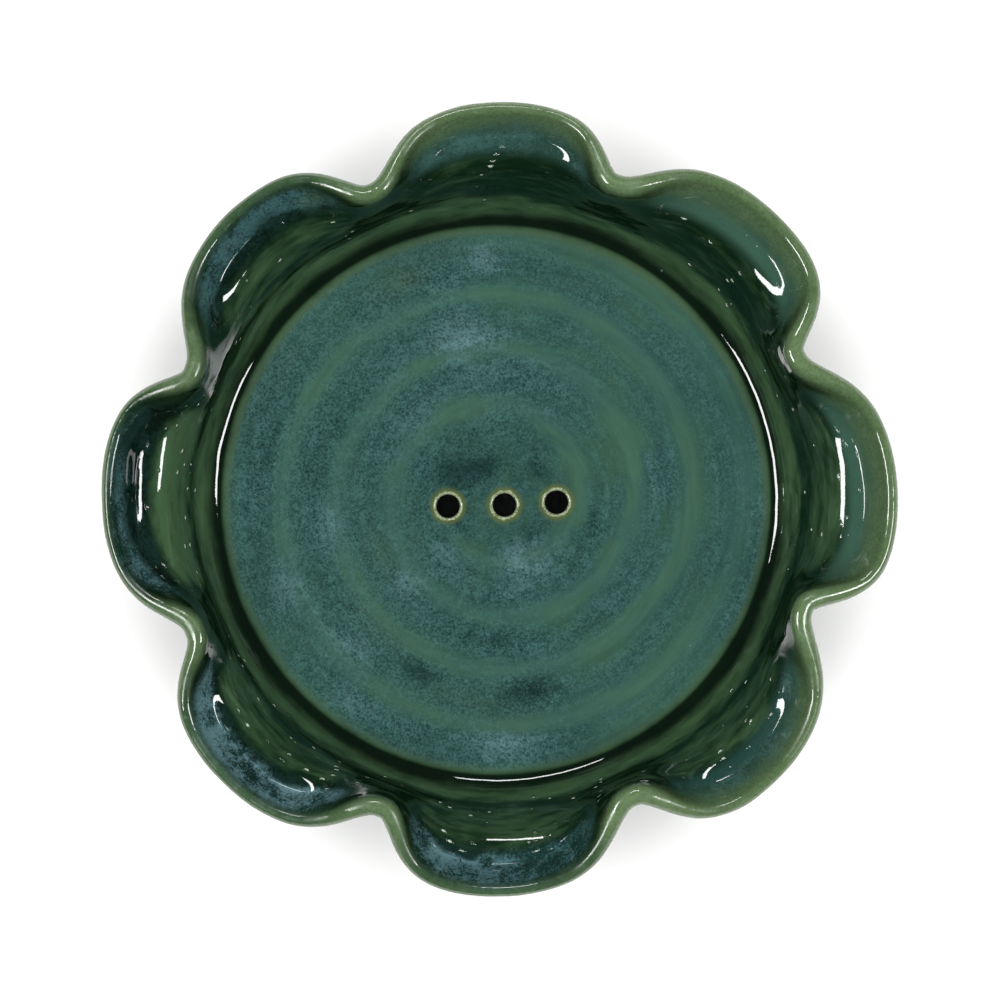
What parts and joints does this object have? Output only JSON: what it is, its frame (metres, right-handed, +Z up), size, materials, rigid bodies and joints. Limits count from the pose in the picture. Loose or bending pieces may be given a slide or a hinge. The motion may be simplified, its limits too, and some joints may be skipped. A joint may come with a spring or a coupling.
{
  "type": "flower frog",
  "caption": "Round stoneware dish with a petal-shaped rim and a row of stem holes through its floor, on a foot ring with small pads.",
  "frame": {"origin": "on the table, under the middle of the dish, at the soles of the pads", "axes": "+Z up out of the open dish; the row of stem holes runs close to the X axis; +Y is towards the petal shown at the top when looking down into the dish"},
  "size_m": [0.1399, 0.1398, 0.0317],
  "materials": {
    "green_glaze": "glossy blue-green glaze, olive where it runs thin on the lip",
    "bare_clay": "unglazed fired stoneware, matte and slightly gritty",
    "silicone_pad": "frosted silicone"
  },
  "bodies": {
    "root": {"dish": "green_glaze", "foot_ring": "bare_clay", "foot_pad_1": "silicone_pad", "foot_pad_2": "silicone_pad", "foot_pad_3": "silicone_pad", "foot_pad_4": "silicone_pad"}
  },
  "joints": []
}
